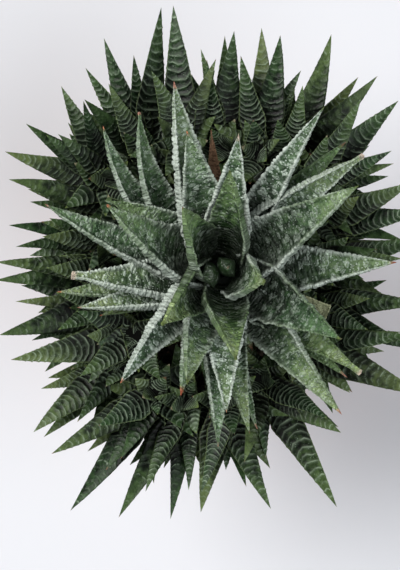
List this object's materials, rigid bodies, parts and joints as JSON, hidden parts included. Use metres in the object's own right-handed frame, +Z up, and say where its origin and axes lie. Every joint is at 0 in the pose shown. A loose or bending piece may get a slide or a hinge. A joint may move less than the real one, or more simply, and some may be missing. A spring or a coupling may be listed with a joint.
{
  "type": "potted haworthia",
  "caption": "Potted haworthia with a large grey-green mother rosette above a dense ring of dark, ridged offset rosettes, in a round terracotta pot.",
  "frame": {"origin": "centre of the pot's flat underside", "axes": "+Z up along the pot's axis; +Y is the side at the top of the view from above, +X the right side of that view"},
  "size_m": [0.143, 0.169, 0.136],
  "materials": {
    "terracotta": "matt",
    "grit": "rough",
    "mother_green": "waxy satin",
    "offset_green": "waxy satin"
  },
  "bodies": {
    "root": {"pot": "terracotta", "soil": "grit", "mother_rosette": "mother_green", "offset_01": "offset_green", "offset_02": "offset_green", "offset_03": "offset_green", "offset_04": "offset_green", "offset_05": "offset_green", "offset_06": "offset_green", "offset_07": "offset_green", "offset_08": "offset_green", "offset_09": "offset_green", "offset_10": "offset_green", "offset_11": "offset_green", "offset_12": "offset_green", "offset_13": "offset_green", "offset_14": "offset_green", "offset_15": "offset_green", "offset_16": "offset_green", "offset_17": "offset_green", "offset_18": "offset_green", "offset_19": "offset_green", "offset_20": "offset_green", "offset_21": "offset_green"}
  },
  "joints": []
}
